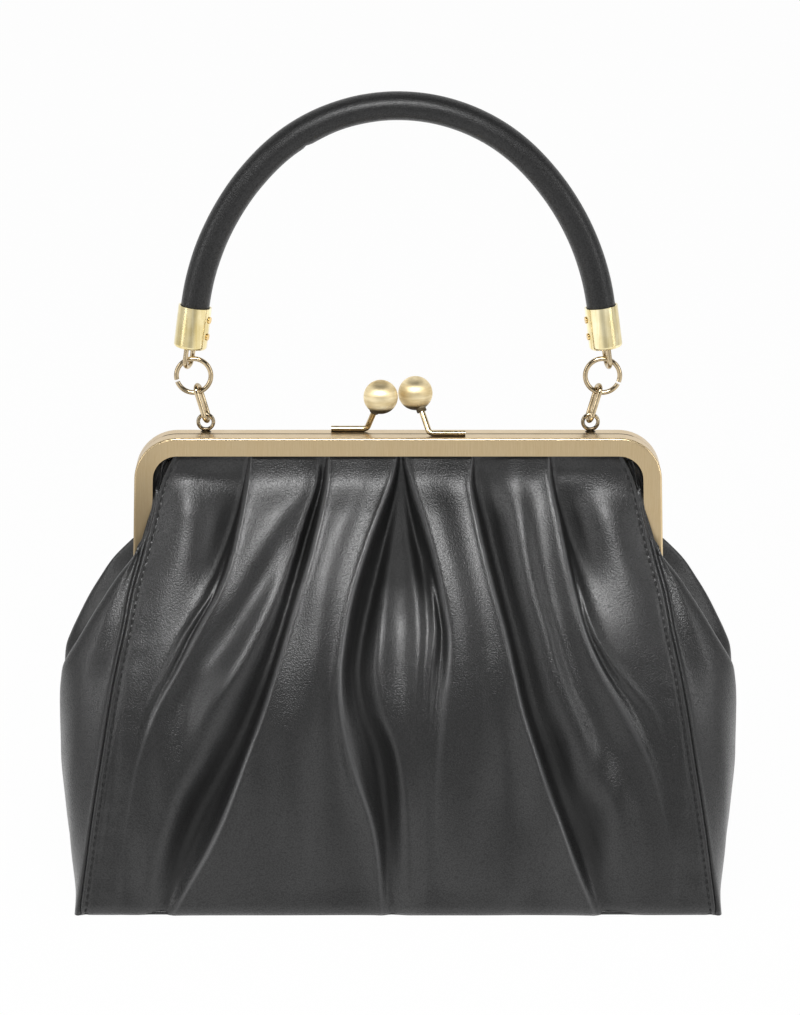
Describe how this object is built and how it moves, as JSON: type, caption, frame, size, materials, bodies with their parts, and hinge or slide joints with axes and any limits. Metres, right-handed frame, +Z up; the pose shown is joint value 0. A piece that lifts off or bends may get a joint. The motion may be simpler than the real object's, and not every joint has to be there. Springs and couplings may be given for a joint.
{
  "type": "kiss lock frame purse",
  "caption": "Leather handbag with a hinged brass frame, closed by two crossing balls, a pleated body with side gussets and a padded handle hung on rings.",
  "frame": {"origin": "centre of the base, on the surface the purse stands on", "axes": "+X to the viewer's right, -Y to the front, +Z up"},
  "size_m": [0.2904, 0.0968, 0.3424],
  "materials": {
    "frame_brass": "brushed",
    "polished_brass": "polished",
    "ring_brass": "antique",
    "leather": "satin",
    "lining": "matte",
    "board": "matte",
    "cord": "matte"
  },
  "bodies": {
    "bag": {"front_panel": "leather", "back_panel": "leather", "left_gusset": "leather", "right_gusset": "leather", "base_panel": "leather", "base_board": "board", "lining": "lining", "left_hinge_rivet": "frame_brass", "right_hinge_rivet": "frame_brass"},
    "front_frame": {"front_frame_rail": "frame_brass", "front_channel_cord": "cord", "front_ball": "polished_brass", "front_ball_stem": "polished_brass", "front_panel_head": "leather"},
    "rear_frame": {"rear_frame_rail": "frame_brass", "rear_channel_cord": "cord", "rear_ball": "polished_brass", "rear_ball_stem": "polished_brass", "back_panel_head": "leather", "left_eyelet": "ring_brass", "right_eyelet": "ring_brass"},
    "left_link": {"left_link": "ring_brass"},
    "right_link": {"right_link": "ring_brass"},
    "left_ring": {"left_jump_ring": "ring_brass"},
    "right_ring": {"right_jump_ring": "ring_brass"},
    "handle": {"left_cap_bail": "ring_brass", "right_cap_bail": "ring_brass", "left_cap": "polished_brass", "right_cap": "polished_brass", "left_cap_pins": "polished_brass", "right_cap_pins": "polished_brass", "handle_core": "cord", "handle_sleeve": "leather"}
  },
  "joints": [
    {"name": "front_open", "type": "hinge", "parent": "bag", "child": "front_frame", "pos_m": [0, 0, 0.135], "axis": [1, 0, 0], "range_deg": [0, 35]},
    {"name": "rear_open", "type": "hinge", "parent": "bag", "child": "rear_frame", "pos_m": [0, 0, 0.135], "axis": [1, 0, 0], "range_deg": [-35, 0]},
    {"name": "left_link_swing", "type": "hinge", "parent": "rear_frame", "child": "left_link", "pos_m": [-0.08092, 0.00435, 0.20545], "axis": [1, 0, 0], "range_deg": [-60, 60]},
    {"name": "right_link_swing", "type": "hinge", "parent": "rear_frame", "child": "right_link", "pos_m": [0.08092, 0.00435, 0.20545], "axis": [1, 0, 0], "range_deg": [-60, 60]},
    {"name": "left_ring_swing", "type": "hinge", "parent": "left_link", "child": "left_ring", "pos_m": [-0.08378, 0.00435, 0.21512], "axis": [1, 0, 0], "range_deg": [-35, 35]},
    {"name": "right_ring_swing", "type": "hinge", "parent": "right_link", "child": "right_ring", "pos_m": [0.08378, 0.00435, 0.21512], "axis": [1, 0, 0], "range_deg": [-35, 35]},
    {"name": "handle_swing", "type": "hinge", "parent": "left_ring", "child": "handle", "pos_m": [-0.0879, 0.00435, 0.22902], "axis": [1, 0, 0], "range_deg": [-35, 35]}
  ],
  "couplings": [
    {"joint": "rear_open", "follows": "front_open", "ratio": -1},
    {"joint": "right_link_swing", "follows": "left_link_swing", "ratio": 1},
    {"joint": "right_ring_swing", "follows": "left_ring_swing", "ratio": 1}
  ]
}
